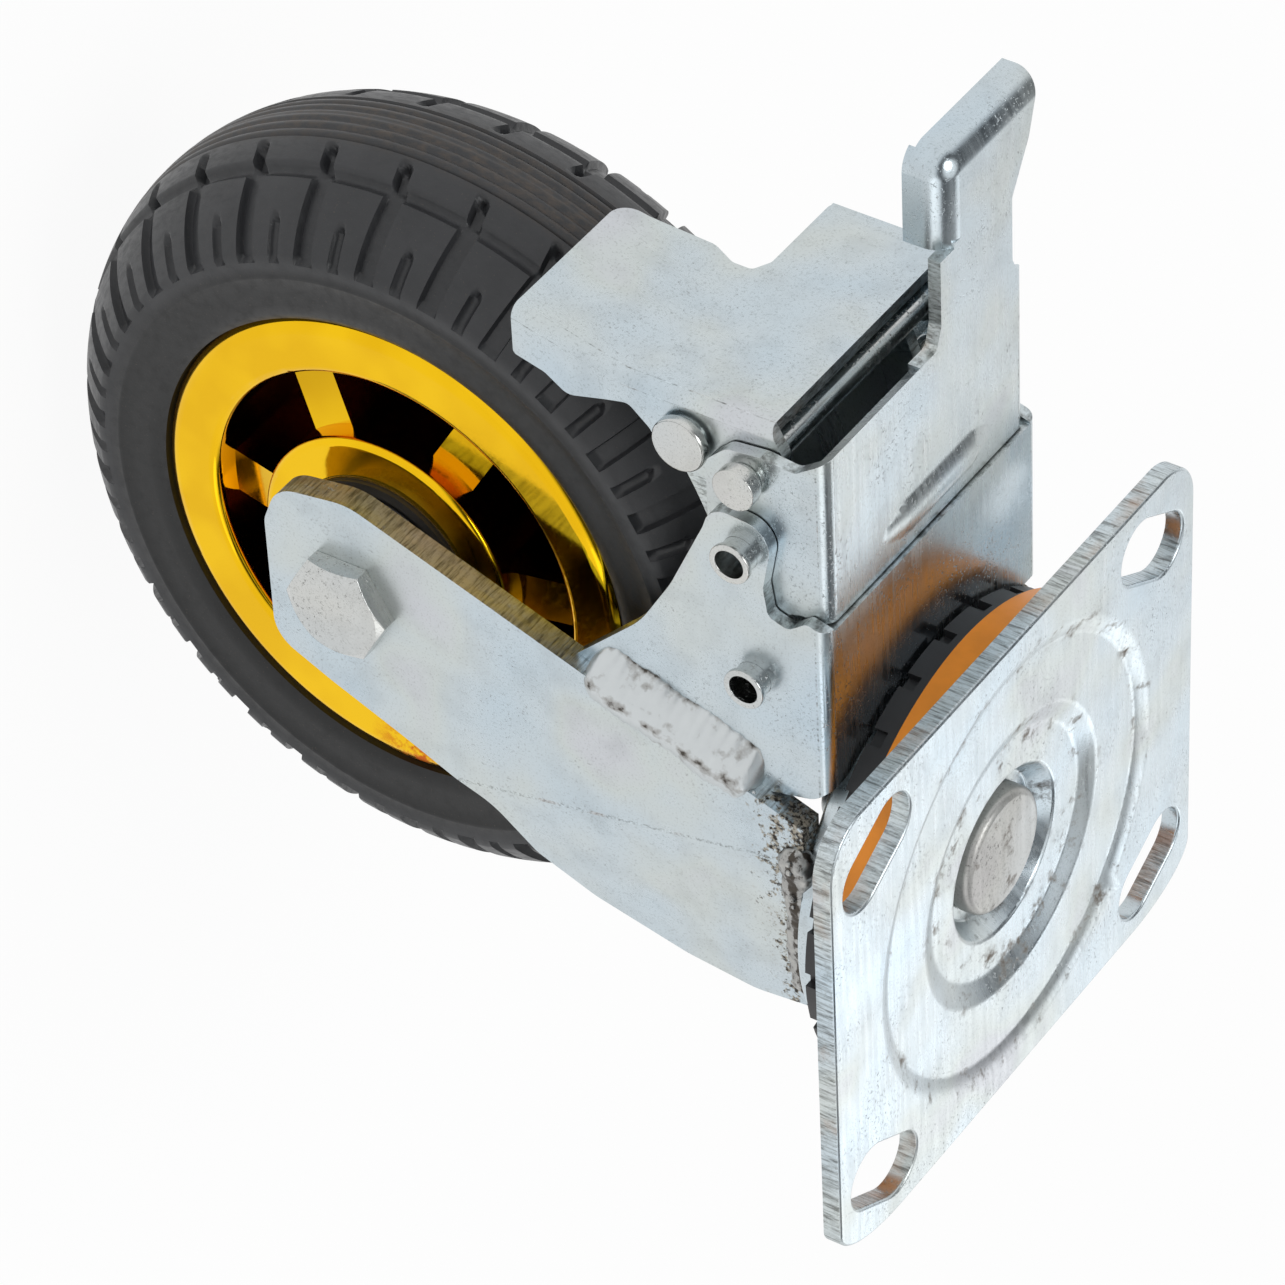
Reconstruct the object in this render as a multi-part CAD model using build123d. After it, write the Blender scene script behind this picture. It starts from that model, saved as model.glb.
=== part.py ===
from build123d import *
import os
from math import asin, atan2, cos, degrees, hypot, radians, sin, tan

# Swivel castor with a 150 mm wheel and a foot brake, in millimetres.
# Origin: centre of the top plate's mounting face, on the swivel axis. +Z points up.
# The wheel and the brake trail to -X. The near side, with the bolt's head, is -Y.

# Top plate
plate_length = 118.0
plate_width = 99.0
plate_sheet = 3.5
rear_corner = 10.0
front_corner_along = 8.5
front_corner_across = 20.0
slot_half_width = 6.1
slot_place = (36.8, 44.8)
slot_reach = (2.33, 4.28)
ring_step = 1.35
ring_slope = 3.6
ring_outer = 43.4
race_step = 1.6
race_slope = 4.0
race_inner = 28.2
dish_radius = 16.6
edge_round = 0.6

# Kingpin and swivel bearing
pin_head_radius = 11.9
pin_head_height = 4.0
pin_head_top = -2.9
pin_radius = 6.0
pin_length = 29.6
hole_clearance = 0.1
ball_radius = 3.5
ball_circle = 34.8
ball_count = 12
race_clearance = 0.15
race_width = 10.0
race_height = 3.0
small_ball_radius = 2.4
small_ball_circle = 17.0
small_ball_count = 10
cage_thickness = 1.2
cup_thickness = 3.0
cup_radius = 21.5
collar_radius = 9.5
pin_nut_height = 7.0
seal_radius = 45.5
seal_wall = 4.0
seal_height = 7.0
lock_radius = 44.0
lock_wall = 3.6
lock_height = 5.0
lock_teeth = 24
lock_notch = 3.0

# Crown and legs of the fork
crown_radius = 39.8
crown_top = -16.0
crown_sheet = 4.0
crown_bore = 10.6
leg_sheet = 5.0
leg_inner = 31.5
leg_foot = -128.6
leg_front_bend = 8.0

# Wheel on its axle
axle_x = -36.0
axle_z = -112.5
wheel_radius = 75.4
tread_arc = 27.7
tyre_half_width = 24.3
rim_radius = 48.2
rim_half_width = 22.8
rim_seat = 46.0
rim_edge_round = 3.0
window_round = 1.8
window_outer = 37.0
hub_radius = 25.3
hub_half_width = 25.0
hub_round = 1.4
bearing_radius = 17.5
bearing_width = 11.0
spoke_count = 6
spoke_width = 9.0
spoke_angle = 30.0
spoke_hub_half = 20.0
spoke_rim_half = 17.0
web_half = 2.0
groove_pitch = 12.0
groove_width = 2.6
groove_depth = 2.6
groove_start = 7.5
hook_width = 1.5
hook_lean = 28.0
mid_groove_place = 13.0
mid_groove_width = 1.6
mid_groove_depth = 1.3
notch_width = 2.0

# Axle
bolt_radius = 6.0
bolt_flats = 18.0
bolt_head = 3.8
bolt_chamfer = 0.1
nut_height = 9.0
washer_radius = 12.0
washer_height = 2.0
spacer_radius = 15.2
seal_thickness = 1.0
running = 0.05

# Brake bracket on the fork
bracket_sheet = 2.5
bracket_inner = 31.0
bracket_top = -16.2
bracket_front = -40.1
bracket_rear = -67.3
bracket_front_round = 63.4
seam_gap = 0.4

# Brake pedal
pedal_sheet = 2.4
pedal_inner = 28.4
pedal_top = -17.0
fold_round = 2.3
tab_round = 4.6

# Release lever
lever_sheet = 2.4
lever_inner = 25.7
lever_face = -102.0
lever_head = -29.6
lever_bend = -58.0
lever_lean = 13.6
lever_foot = -79.5

# Pivots, as x and z
pedal_pivot = (-78.8, -32.4)
rod_pivot = (-92.7, -32.6)
slot_pivot = (-93.7, -45.8)
arm_pivot = (-52.6, -30.6)
rivet_radius = 3.3
rivet_bore = 2.7
rivet_lip = 3.85
rivet_stand = 3.5
rivet_lip_height = 1.2
rod_radius = 2.5
rod_head = 3.95
rod_stand = 4.0
rod_head_height = 2.8
bush_radius = 3.3
bush_length = 3.5
lever_pin_radius = 3.0
lever_pin_head = 5.15
lever_pin_head_height = 2.0

# Brake arm under the pedal
arm_sheet = 2.5
arm_inner = 22.9
arm_stroke = 7.6
shoe_gap = 0.3
shoe_sheet = 3.0
shoe_start = 106.0
shoe_end = 134.0
arm_eye = 6.0
arm_tip_eye = 6.3
slot_travel = 2.9
slot_clearance = 0.5
arm_tip_gap = 0.5

# Weld beads
bead = 3.0

NEAR = -1
FAR = 1
AXLE = Axis((axle_x, 0, axle_z), (0, 1, 0))
AXLE_PLANE = Plane(origin=(axle_x, 0, axle_z), x_dir=(1, 0, 0), z_dir=(0, 1, 0))
RADIAL_PLANE = Plane(origin=(axle_x, 0, axle_z), x_dir=(1, 0, 0), z_dir=(0, 0, 1))


def outline(points, rounds):
    """A closed flat outline whose corners have the given radii."""
    return make_face(FilletPolyline(*points, radius=rounds, close=True))


def ring(outer, inner, start, height, plane=Plane.XY):
    """A plain ring along the plane's normal."""
    return extrude(plane.offset(start) * (Circle(outer) - Circle(inner)), height)


def to_side(shape, side):
    """Keeps a piece made for the near side, or turns it over to the far side."""
    return shape if side == NEAR else mirror(shape, Plane.XZ)


def side_sheet(face, inner, thickness):
    """A flat blank drawn in X and Z, standing on the near side from `inner` outwards."""
    return extrude(Plane.XZ.offset(inner) * face, thickness)


def cross_cylinder(place, radius, start, length):
    """A cylinder along Y on the near side, from the distance `start` outwards."""
    return extrude(Plane.XZ.offset(start) * Pos(place[0], place[1]) * Circle(radius), length)


def hexagon(flats):
    """A hexagon with one pair of flats upright."""
    return RegularPolygon(radius=flats / 2, side_count=6, major_radius=False, rotation=30)


# Top plate

dish_floor = pin_head_top - pin_head_height
dish_slope = 2.6
ring_floor = -ring_step
race_floor = -ring_step - race_step
under_rim = -0.6
under_spread = 0.9


def pressing(lift, rim_spread, spread):
    """The revolved form of the pressed rings: the spreads shift its steps for the underside."""
    rim = ring_outer + 1.1 + rim_spread
    line = FilletPolyline(
        (rim, lift),
        (rim - ring_slope, ring_floor + lift),
        (race_inner + spread, ring_floor + lift),
        (race_inner - race_slope + spread, race_floor + lift),
        (dish_radius + spread, race_floor + lift),
        (dish_radius - dish_slope + spread, dish_floor + lift),
        (0, dish_floor + lift),
        radius=(3.0, 3.0, 3.0, 1.0, 0.6),
    )
    lid = Polyline((0, dish_floor + lift), (0, 6), (rim, 6), (rim, lift))
    return revolve(Plane.XZ * make_face(line.edges() + lid.edges()), Axis.Z)


def plate_blank():
    """The plate's outline: round rear corners and long elliptical front ones."""
    half_x = plate_width / 2
    half_y = plate_length / 2
    front_x = half_x - front_corner_along
    front_y = half_y - front_corner_across
    body = Rectangle(plate_width, plate_length)
    front_end = Ellipse(front_corner_along, front_corner_across)
    rear_end = Circle(rear_corner)
    for side in (-1, 1):
        body -= Pos(half_x, side * half_y) * Rectangle(2 * front_corner_along, 2 * front_corner_across)
        body -= Pos(-half_x, side * half_y) * Rectangle(2 * rear_corner, 2 * rear_corner)
        body += Pos(front_x, side * front_y) * front_end
        body += Pos(-half_x + rear_corner, side * (half_y - rear_corner)) * rear_end
    return body


def slots():
    """Four slanted bolt slots."""
    length = 2 * hypot(*slot_reach)
    lean = degrees(atan2(slot_reach[1], -slot_reach[0]))
    front = Pos(*slot_place) * Rot(0, 0, lean) * SlotCenterToCenter(length, 2 * slot_half_width)
    rear = mirror(front, Plane.YZ)
    return Sketch() + [front, rear, mirror(front, Plane.XZ), mirror(rear, Plane.XZ)]


def make_top_plate():
    sheet = extrude(Plane.XY.offset(-plate_sheet) * (plate_blank() - slots()), plate_sheet)
    top_edges = sheet.edges().filter_by_position(Axis.Z, -0.01, 0.01)
    sheet = fillet(top_edges, edge_round)
    under = Pos(0, 0, -plate_sheet - 10) * Cylinder(ring_outer + 4, 20)
    below = pressing(-plate_sheet, under_rim, under_spread) & under
    plate = (sheet + below) - pressing(0, 0, 0)
    return plate - Pos(0, 0, dish_floor) * Cylinder(pin_radius + hole_clearance, 20)


# Swivel bearing, fixed side

plate_floor = dish_floor - plate_sheet
upper_race_top = ring_floor - plate_sheet
ball_height = (upper_race_top + crown_top) / 2
race_groove = ball_radius + race_clearance
crown_floor = crown_top - crown_sheet
small_groove = small_ball_radius + race_clearance
small_ball_height = crown_floor - small_ball_radius + 0.5
cup_top = small_ball_height - small_ball_radius + 0.5
cup_floor = cup_top - cup_thickness
nut_floor = cup_floor - pin_nut_height


def groove_ring(circle, groove, height):
    """The torus that leaves a ball groove in a race."""
    return Pos(0, 0, height) * Torus(circle, groove)


def race(low):
    """A hardened ring with a ball groove."""
    blank = ring(ball_circle + race_width / 2, ball_circle - race_width / 2, low, race_height)
    return blank - groove_ring(ball_circle, race_groove, ball_height)


def make_kingpin():
    head = chamfer(Cylinder(pin_head_radius, pin_head_height).edges().sort_by(Axis.Z)[-1], 0.9)
    head = Pos(0, 0, dish_floor + pin_head_height / 2) * head
    shank = Pos(0, 0, dish_floor - pin_length / 2) * Cylinder(pin_radius, pin_length)
    return head + shank


def make_pin_nut():
    face = hexagon(bolt_flats) - Circle(pin_radius)
    return extrude(Plane.XY.offset(nut_floor) * face, pin_nut_height)


def make_cup():
    """Lower cup: it carries the small balls and hangs on the kingpin."""
    cup = ring(cup_radius, pin_radius, cup_floor, cup_thickness)
    return cup - groove_ring(small_ball_circle, small_groove, small_ball_height)


def make_seal_ring():
    """Dust seal: a lip reaches up beside the plate's pressed ring."""
    top = -plate_sheet
    seat = upper_race_top - 0.2
    lip = ring(seal_radius, ring_outer + 1.1 + under_rim + 0.15, seat, top - seat)
    skirt = ring(seal_radius, seal_radius - seal_wall, top - seal_height, seat - top + seal_height)
    return lip + skirt


def make_lock_ring():
    """Notched swivel lock ring under the seal."""
    top = -plate_sheet - seal_height
    wheel = ring(lock_radius, lock_radius - lock_wall, top - lock_height, lock_height)
    notch = Pos(lock_radius, 0, top - lock_height) * Box(3.2, lock_notch, lock_height * 1.1)
    notches = [Rot(0, 0, 360 * turn / lock_teeth) * notch for turn in range(lock_teeth)]
    return wheel - notches


# Ball rows

def ball_row(circle, radius, count, height):
    """Balls joined by their cage, so that the row is one piece."""
    cage = ring(circle + radius * 0.75, circle - radius * 0.75, height - cage_thickness / 2, cage_thickness)
    ball = Pos(circle, 0, height) * Sphere(radius)
    return cage + [Rot(0, 0, 360 * turn / count) * ball for turn in range(count)]


# Fork

def leg_edge(z):
    """The rear edge of a leg, which the brake bracket also follows."""
    return -24.6 - 0.3559 * (-16.8 - z)


crease_low = (-5.2, -87.2)
crease_high = (-18.1, -19.0)


def leg_blank():
    """The leg laid flat: a rounded foot, a straight rear edge and a swept front edge."""
    top = crown_floor + 2
    points = [(-47.4, leg_foot), (-55.6, leg_foot + 3.2), (leg_edge(-110.5), -110.5), (leg_edge(top), top),
              (20.6, top), (22.0, -34.0), (19.6, -47.5), (13.6, -65.5), (7.6, -76.6),
              (-1.1, -84.6), (-9.4, -102.5), (-15.6, -117.0), (-21.2, leg_foot)]
    rounds = (5, 7, 12, 0, 0, 12, 20, 14, 8, 14, 40, 10, 7)
    return outline(points, rounds)


def make_leg():
    """The front of the leg is bent inwards along a crease."""
    flat = side_sheet(leg_blank(), leg_inner, leg_sheet)
    outer = leg_inner + leg_sheet
    run = (crease_high[0] - crease_low[0], crease_high[1] - crease_low[1])
    crease = Axis((crease_low[0], -outer, crease_low[1]), (run[0], 0, run[1]))
    cut = Plane(origin=(crease_low[0], -outer, crease_low[1]), x_dir=(run[0], 0, run[1]),
                z_dir=(run[1], 0, -run[0]))
    front = split(flat, bisect_by=cut, keep=Keep.TOP)
    rear = split(flat, bisect_by=cut, keep=Keep.BOTTOM)
    leg = rear + front.rotate(crease, leg_front_bend)
    leg -= Pos(0, 0, crown_floor + 10) * Box(200, 200, 20)
    hole = bolt_radius + hole_clearance
    return leg - cross_cylinder((axle_x, axle_z), hole, leg_inner - 5, leg_sheet + 10)


def make_crown():
    crown = ring(crown_radius, crown_bore, crown_floor, crown_sheet)
    crown -= groove_ring(small_ball_circle, small_groove, small_ball_height)
    return fillet(crown.edges().filter_by(GeomType.CIRCLE).sort_by(SortBy.RADIUS)[-2:], 0.8)


def bracket_flange():
    low_front = (leg_edge(-66.3), -66.3)
    mid_front = (leg_edge(-28.0), -28.0)
    x, z = pedal_pivot
    ear = 6.6
    points = [low_front, (-55.2, -53.0), (-66.0, -46.6), (x - 2.6, z - ear - 0.6),
              (x - ear - 1.0, z - ear + 1.0), (x - ear - 0.2, z + ear), (-73.0, -28.2), (-67.4, -27.4),
              (-66.2, -23.6), (-68.9, -20.0),
              (-67.8, bracket_top), (-33.4, bracket_top), (-30.6, -19.6), mid_front]
    rounds = (0, 22, 30, 3, 4.5, 5.0, 3.0, 1.5, 1.5, 1.0, 0, 0, 6, 0)
    return outline(points, rounds)


def channel(outer, sheet, top, depth, start, length):
    """A folded channel along X, open below, with round outer folds."""
    arch = Polyline((-outer, top - depth), (-outer, top), (outer, top), (outer, top - depth),
                    (outer - sheet, top - depth), (outer - sheet, top - sheet), (sheet - outer, top - sheet),
                    (sheet - outer, top - depth), close=True)
    face = make_face(arch.edges())
    face = fillet(face.vertices().group_by(Axis.Y)[-1], fold_round)
    return extrude(Plane.YZ.offset(start) * face, length)


def make_bracket():
    """A channel cut to its side view, with a round front edge that clears the swivel bearing."""
    outer = bracket_inner + bracket_sheet
    bracket = channel(outer, bracket_sheet, bracket_top, 60, -100, 80)
    bracket &= extrude(Plane.XZ * bracket_flange(), outer + 1, both=True)
    clearance = Cylinder(bracket_front_round, 3 * bracket_sheet)
    bracket -= Pos(bracket_front + bracket_front_round, 0, bracket_top) * clearance
    seam = Box(20, 2 * bracket_inner, 4 * bracket_sheet, align=(Align.MAX, Align.CENTER, Align.CENTER))
    bracket -= Pos(bracket_rear, 0, bracket_top) * seam
    for place in (pedal_pivot, arm_pivot):
        bracket -= Pos(place[0], 0, place[1]) * Rot(90, 0, 0) * Cylinder(rivet_radius, 2 * outer + 2)
    return bracket


def bead_along(start, end, outward, size):
    """A fillet weld: a triangular bar with its right angle on the seam."""
    along = Vector(*end) - Vector(*start)
    section = Plane(origin=start, x_dir=outward, z_dir=along)
    return extrude(section * Polygon((0, 0), (size, 0), (0, size), align=None), along.length)


def make_bracket_weld():
    """It lies in the corner between the bracket's flange and the leg's rear edge."""
    face = -(bracket_inner + bracket_sheet)
    top = -31.0
    low = -64.0
    return bead_along((leg_edge(top), face, top), (leg_edge(low), face, low), (0, -1, 0), bead)


def make_crown_weld(leg):
    """It lies in the corner under the crown, along the outside of the leg's bent top edge."""
    face = -(leg_inner + leg_sheet)
    reach = 33.0
    turn = radians(leg_front_bend)
    start = (crease_high[0] + 1.0, face + sin(turn), crown_floor)
    end = (start[0] + reach * cos(turn), start[1] + reach * sin(turn), crown_floor)
    return bead_along(start, end, (sin(turn), -cos(turn), 0), bead) - leg


# Axle pieces

spacer_start = hub_half_width + seal_thickness + 0.3
sleeve_radius = bearing_radius / 2


def make_axle_bolt():
    outer = leg_inner + leg_sheet
    place = Pos(axle_x, axle_z)
    head = extrude(Plane.XZ.offset(outer) * place * hexagon(bolt_flats), bolt_head)
    face = bolt_flats / 2 - bolt_chamfer
    bevel = Cone(face + bolt_head / tan(radians(30)), face, bolt_head)
    bevel = Pos(axle_x, -outer - bolt_head / 2, axle_z) * Rot(90, 0, 0) * bevel
    shank_end = outer + washer_height + nut_height + 1.5
    shank = cross_cylinder((axle_x, axle_z), bolt_radius, -shank_end, shank_end + outer)
    return (head & bevel) + shank


def make_axle_washer():
    return ring(washer_radius, bolt_radius, leg_inner + leg_sheet, washer_height, AXLE_PLANE)


def make_axle_nut():
    face = hexagon(bolt_flats) - Circle(bolt_radius)
    return extrude(AXLE_PLANE.offset(leg_inner + leg_sheet + washer_height) * face, nut_height)


def make_axle_sleeve():
    return ring(sleeve_radius, bolt_radius, -spacer_start, 2 * spacer_start, AXLE_PLANE)


def make_spacer():
    return ring(spacer_radius, bolt_radius, -leg_inner, leg_inner - spacer_start, AXLE_PLANE)


# Wheel

seat_half_width = rim_half_width - 6.2
lip_inside = rim_half_width - 4.6


def make_rim():
    """The barrel that carries the tyre, with rounded faces."""
    half = [(window_outer, 0), (window_outer, rim_half_width), (rim_radius, rim_half_width),
            (rim_radius, lip_inside), (rim_seat, seat_half_width), (rim_seat, 0)]
    line = FilletPolyline(*half, radius=(window_round, rim_edge_round, 0, 0))
    profile = make_face(line.edges() + Line(half[-1], half[0]).edges())
    half_rim = revolve(RADIAL_PLANE * profile, AXLE)
    return half_rim + mirror(half_rim, Plane.XZ)


def make_hub():
    """The hub, with a shoulder between its bearings."""
    half = [(bearing_radius, 0), (bearing_radius, hub_half_width), (hub_radius, hub_half_width),
            (hub_radius, 0)]
    line = FilletPolyline(*half, radius=(0.6, hub_round))
    profile = make_face(line.edges() + Line(half[-1], half[0]).edges())
    half_hub = revolve(RADIAL_PLANE * profile, AXLE)
    inside = hub_half_width - bearing_width
    shoulder = ring(bearing_radius + 0.5, bearing_radius - 2.5, -inside, 2 * inside, AXLE_PLANE)
    return half_hub + mirror(half_hub, Plane.XZ) + shoulder


def make_web():
    """The closed web in the middle of the wheel and the recessed spokes on both its sides."""
    over = 1.5
    inside = hub_radius - over
    outside = window_outer + over
    web = ring(outside, inside, -web_half, 2 * web_half, AXLE_PLANE)
    side = Polygon((inside, -spoke_hub_half), (outside, -spoke_rim_half), (outside, spoke_rim_half),
                   (inside, spoke_hub_half), align=None)
    spoke = extrude(RADIAL_PLANE * side, spoke_width / 2, both=True)
    web += [spoke.rotate(AXLE, spoke_angle + 360 * turn / spoke_count) for turn in range(spoke_count)]
    return web & ring(window_outer, hub_radius, -hub_half_width, 2 * hub_half_width, AXLE_PLANE)


tread_centre = wheel_radius - tread_arc


def tread_point(offset, depth=0.0):
    """A point of the tread's section, `offset` from the middle and `depth` under the surface."""
    turn = asin(offset / tread_arc)
    reach = tread_arc - depth
    return (tread_centre + reach * cos(turn), reach * sin(turn))


def tread_slice(start, end, depth, width):
    """A cutter that follows the tread's section from `start` to `end`."""
    middle = (start + end) / 2
    rise = -2.0
    inner = ThreePointArc(tread_point(start, depth), tread_point(middle, depth), tread_point(end, depth))
    outer = ThreePointArc(tread_point(start, rise), tread_point(middle, rise), tread_point(end, rise))
    sides = Line(inner @ 0, outer @ 0).edges() + Line(inner @ 1, outer @ 1).edges()
    face = make_face(inner.edges() + outer.edges() + sides)
    return extrude(RADIAL_PLANE * face, width / 2, both=True)


def make_tyre():
    """A toroidal tread with hooked lateral grooves, set over the rim's seat and lips."""
    edge_radius, edge_y = tread_point(tyre_half_width)
    side = [(edge_radius, edge_y), (edge_radius - 1.6, edge_y - 0.1),
            (rim_radius + 1.4, rim_half_width + 0.6), (rim_radius, rim_half_width - 2.8),
            (rim_radius, lip_inside), (rim_seat, seat_half_width)]
    other = [(radius, -y) for radius, y in reversed(side)]
    tread = ThreePointArc(other[-1], (wheel_radius, 0), side[0])
    profile = make_face(tread.edges() + Polyline(*side, *other).edges())
    tyre = revolve(RADIAL_PLANE * profile, AXLE)
    shoulder = tyre_half_width - 0.2
    wide = tread_slice(mid_groove_place, shoulder, groove_depth, groove_width)
    hook = tread_slice(groove_start, mid_groove_place + 0.5, groove_depth * 0.8, hook_width)
    knee_radius, knee_y = tread_point(mid_groove_place)
    knee = Axis((axle_x + knee_radius, knee_y, axle_z), (1, 0, 0))
    lateral = wide + hook.rotate(knee, hook_lean)
    notch = tread_slice(shoulder - 4.4, shoulder, 1.8, notch_width)
    count = round(360 / groove_pitch)
    far = [lateral.rotate(AXLE, groove_pitch * turn) for turn in range(count)]
    far += [notch.rotate(AXLE, groove_pitch * (turn + 0.5)) for turn in range(count)]
    near = [mirror(cutter, Plane.XZ).rotate(AXLE, groove_pitch / 2) for cutter in far]
    channel = Rectangle(2 * mid_groove_depth, mid_groove_width)
    channel = Pos(knee_radius, knee_y) * Rot(0, 0, degrees(asin(mid_groove_place / tread_arc))) * channel
    channel_ring = revolve(RADIAL_PLANE * channel, AXLE)
    return tyre - [channel_ring, mirror(channel_ring, Plane.XZ)] - (far + near)


def make_bearing():
    return ring(bearing_radius, sleeve_radius + running, -hub_half_width, bearing_width, AXLE_PLANE)


def make_wheel_seal():
    low = -hub_half_width - seal_thickness
    return ring(bearing_radius, sleeve_radius + 0.3, low, seal_thickness, AXLE_PLANE)


# Pedal

pedal_outer = pedal_inner + pedal_sheet
pedal_rear = bracket_rear - seam_gap
pedal_edge = -101.8
tab_side = 6.5
tab_end = -137.5
tab_start = -119.0


def pedal_flange():
    points = [(pedal_rear, pedal_top), (pedal_edge, pedal_top), (-97.4, -23.2), (-98.1, -29.2),
              (-97.3, -36.2), (-93.4, -40.3), (-74.6, -40.3), (-65.8, -28.2), (pedal_rear, -22.8)]
    return outline(points, (0, 0, 2.5, 4, 3, 3, 4, 3, 1.5))


def pedal_stem():
    """The flat offset stem between the channel and the foot tab."""
    inner_y = tab_side + pedal_sheet
    points = [(pedal_edge + 4, -2), (pedal_edge, -2), (pedal_edge, 3.2), (-106.0, 4.6), (tab_start, 4.6),
              (tab_start, inner_y), (tab_start - 1, inner_y), (tab_start - 1, 28.5), (-117.5, 27.0),
              (-104.6, 27.0), (pedal_edge, 28.4), (pedal_edge + 4, 28.4)]
    face = outline(points, (0, 0, 1.5, 1.5, 0, 0, 0, 0, 1.5, 1, 0.5, 0))
    return extrude(Plane.XY.offset(pedal_top - pedal_sheet) * face, pedal_sheet)


def foot_tab():
    """The dished tab: lips on its near side and its end, open towards the stem and the far side."""
    end_drop = 7.1
    side_drop = 8.3
    inside_x = tab_end + pedal_sheet
    inside_y = tab_side + pedal_sheet
    far_end = (tab_end, 35.8)
    points = [(tab_start, tab_side), (tab_end, tab_side), far_end, (-126.5, 32.4), (tab_start, 27.9)]
    block = extrude(Plane.XY.offset(pedal_top - side_drop) * outline(points, (0, 4.8, 0, 6, 0)), side_drop)
    rim = block.edges().filter_by_position(Axis.Z, pedal_top - 0.01, pedal_top + 0.01)
    rim = rim.filter_by(lambda edge: edge.center().Y < tab_side + 2 or edge.center().X < tab_end + 0.01)
    block = fillet(rim, tab_round)
    hollow = Box(40, 60, side_drop, align=(Align.MIN, Align.MIN, Align.MAX))
    hollow = fillet(hollow.edges().filter_by(Axis.Z).sort_by(Axis.X)[:1], 0.6)
    block -= Pos(inside_x, inside_y, pedal_top - pedal_sheet) * hollow
    under_end = Box(8, 60, side_drop, align=(Align.MAX, Align.MIN, Align.MAX))
    return block - Pos(inside_x + 1, inside_y, pedal_top - end_drop) * under_end


def pedal_bead():
    """The shallow pressed bead across the web: a spindle that stands a little out of it."""
    bead_round = 10.0
    bead_rise = 0.9
    low = bead_round - bead_rise
    half = Polyline((0, -15), (low, -15), (bead_round, -7), (bead_round, 13), (low, 20), (0, 20),
                    close=True)
    centre = (-74.2, 0, pedal_top - low)
    section = Plane(origin=centre, x_dir=(0, 0, 1), z_dir=(-1, 0, 0))
    spindle = revolve(section * make_face(half.edges()), Axis(centre, (0, 1, 0)))
    return spindle & Pos(centre[0], 0, pedal_top) * Box(4 * bead_round, 80, 2 * bead_rise + 0.6)


def make_pedal():
    """A channel with a raised bead, and a dished foot tab on an offset stem."""
    body = channel(pedal_outer, pedal_sheet, pedal_top, 30, -110, 50)
    body &= extrude(Plane.XZ * pedal_flange(), pedal_outer + 1, both=True)
    pedal = body + pedal_stem() + foot_tab() + pedal_bead()
    for place, radius in ((pedal_pivot, rivet_radius + running), (rod_pivot, rod_radius)):
        pedal -= Pos(place[0], 0, place[1]) * Rot(90, 0, 0) * Cylinder(radius, 3 * pedal_outer)
    return pedal


def make_pedal_rivet():
    """A tubular rivet with a rolled lip: it pins the pedal's flange to the bracket."""
    outer = bracket_inner + bracket_sheet
    inside = pedal_inner - 0.3
    rivet = cross_cylinder(pedal_pivot, rivet_radius, inside, outer + rivet_stand - inside)
    for start in (outer + rivet_stand - rivet_lip_height, inside - rivet_lip_height):
        rivet += cross_cylinder(pedal_pivot, rivet_lip, start, rivet_lip_height)
    return rivet - cross_cylinder(pedal_pivot, rivet_bore, inside - 5, 20)


def make_arm_rivet():
    """The same rivet at the arm's pivot, as a tube right across the bracket."""
    end = bracket_inner + bracket_sheet + rivet_stand
    tube = cross_cylinder(arm_pivot, rivet_radius, -end, 2 * end)
    for start in (end - rivet_lip_height, -end):
        tube += cross_cylinder(arm_pivot, rivet_lip, start, rivet_lip_height)
    return tube - cross_cylinder(arm_pivot, rivet_bore, -end - 1, 2 * end + 2)


def make_cross_rod():
    """The rod that carries the release lever, headed outside the pedal's flanges."""
    end = pedal_outer + rod_stand
    rod = cross_cylinder(rod_pivot, rod_radius, -end, 2 * end)
    head = cross_cylinder(rod_pivot, rod_head, end - rod_head_height, rod_head_height)
    neck = cross_cylinder(rod_pivot, rod_radius + 0.6, pedal_outer, rod_stand - rod_head_height)
    return rod + [head, mirror(head, Plane.XZ), neck, mirror(neck, Plane.XZ)]


def make_bush():
    bush = cross_cylinder(rod_pivot, bush_radius, lever_inner - 0.3 - bush_length, bush_length)
    return bush - cross_cylinder(rod_pivot, rod_radius, 0, lever_inner)


# Release lever

lever_outer = lever_inner + lever_sheet
lever_toe = lever_face - (lever_bend - lever_foot) * sin(radians(lever_lean)) / cos(radians(lever_lean))


def lever_strip():
    """The web's section: upright, then leaning out past the tyre below the bend."""
    half_lean = radians(lever_lean / 2)
    inner_bend = lever_bend - lever_sheet * sin(half_lean) / cos(half_lean)
    inner_toe = lever_toe + lever_sheet / cos(radians(lever_lean))
    inner_face = lever_face + lever_sheet
    return Polyline((lever_face, lever_head), (lever_face, lever_bend), (lever_toe, lever_foot),
                    (inner_toe, lever_foot), (inner_face, inner_bend), (inner_face, lever_head), close=True)


def lever_blank():
    """The web's outline, seen from behind the castor: a wide top and a tab on the near side."""
    points = [(-lever_outer, lever_head), (lever_outer, lever_head), (lever_outer, -52.8), (9.3, -52.8),
              (6.0, -54.6), (6.0, -58.6), (7.4, -62.6), (5.3, -74.0), (5.0, lever_foot), (-lever_outer, lever_foot)]
    return outline(points, (0, 3.5, 1.5, 1.5, 1.2, 2, 3, 10, 4, 0))


def lever_near_flange():
    points = [(lever_face, lever_head), (-97.0, -26.9), (-86.7, -26.9), (-86.7, -49.5), (-92.8, -52.9),
              (-96.4, -57.0), (-95.3, -61.5), (-93.2, -69.0), (-96.2, -73.4),
              (-97.8, lever_foot), (lever_toe, lever_foot),
              (lever_face, lever_bend)]
    return outline(points, (0, 2, 5.5, 5, 2, 2, 6, 3, 3, 1, 0, 0))


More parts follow.
